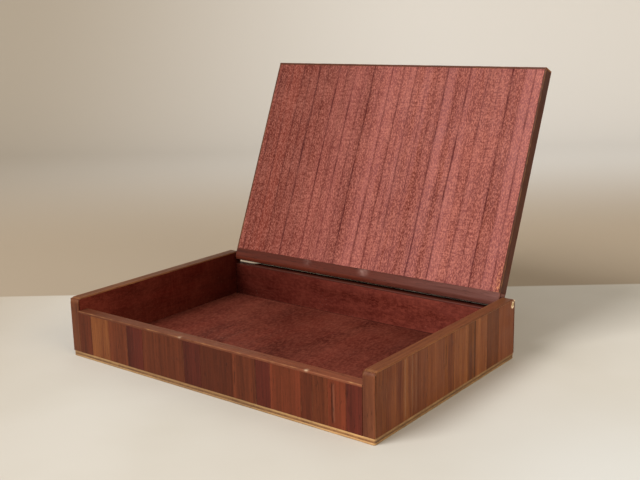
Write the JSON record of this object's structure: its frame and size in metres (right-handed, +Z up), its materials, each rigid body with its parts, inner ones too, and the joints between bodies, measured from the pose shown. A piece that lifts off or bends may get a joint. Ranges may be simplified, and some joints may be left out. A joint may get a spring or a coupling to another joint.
{
  "type": "wooden box with flush hinged lid",
  "caption": "Low rectangular wooden box with upright veneer strips, a pale plywood base, a red-stained inside and a flush lid that turns on hidden pins.",
  "frame": {"origin": "centre of the underside of the base, on the surface the box stands on", "axes": "+X along the box to its right-hand end, +Y to the back where the lid is hinged, +Z up"},
  "size_m": [0.2, 0.1823, 0.15],
  "materials": {
    "core_wood": "plain",
    "edging_wood": "satin varnish",
    "pale_ply": "satin",
    "pin_metal": "drawn wire",
    "ply_core": "satin",
    "red_stained_wood": "satin varnish over red stain",
    "strip_wood": "satin varnish",
    "veneer_amber": "satin varnish",
    "veneer_brown": "satin varnish",
    "veneer_dark": "satin varnish",
    "veneer_plum": "satin varnish"
  },
  "bodies": {
    "box": {"back_veneer_amber": "veneer_amber", "back_veneer_brown": "veneer_brown", "back_veneer_dark": "veneer_dark", "back_veneer_plum": "veneer_plum", "back_wall_core": "core_wood", "back_wall_lining": "red_stained_wood", "back_wall_rim": "edging_wood", "base_bottom_ply": "pale_ply", "base_core_ply": "ply_core", "base_top_ply": "pale_ply", "floor_board": "core_wood", "floor_veneer": "red_stained_wood", "front_veneer_amber": "veneer_amber", "front_veneer_brown": "veneer_brown", "front_veneer_dark": "veneer_dark", "front_veneer_plum": "veneer_plum", "front_wall_core": "core_wood", "front_wall_lining": "red_stained_wood", "front_wall_rim": "edging_wood", "left_hinge_pin": "pin_metal", "left_veneer_amber": "veneer_amber", "left_veneer_brown": "veneer_brown", "left_veneer_dark": "veneer_dark", "left_veneer_plum": "veneer_plum", "left_wall_core": "core_wood", "left_wall_front_edging": "edging_wood", "left_wall_lining": "red_stained_wood", "left_wall_rear_edging": "edging_wood", "left_wall_top_edging": "edging_wood", "right_hinge_pin": "pin_metal", "right_veneer_amber": "veneer_amber", "right_veneer_brown": "veneer_brown", "right_veneer_dark": "veneer_dark", "right_veneer_plum": "veneer_plum", "right_wall_core": "core_wood", "right_wall_front_edging": "edging_wood", "right_wall_lining": "red_stained_wood", "right_wall_rear_edging": "edging_wood", "right_wall_top_edging": "edging_wood"},
    "lid": {"lid_core": "core_wood", "lid_front_edging": "edging_wood", "lid_left_edging": "edging_wood", "lid_lining": "red_stained_wood", "lid_rear_strip": "strip_wood", "lid_right_edging": "edging_wood", "lid_veneer_amber": "veneer_amber", "lid_veneer_brown": "veneer_brown", "lid_veneer_dark": "veneer_dark", "lid_veneer_plum": "veneer_plum"}
  },
  "joints": [
    {"name": "lid_hinge", "type": "hinge", "parent": "box", "child": "lid", "pos_m": [0, 0.0632, 0.0302], "axis": [1, 0, 0], "range_deg": [0, 113]}
  ]
}
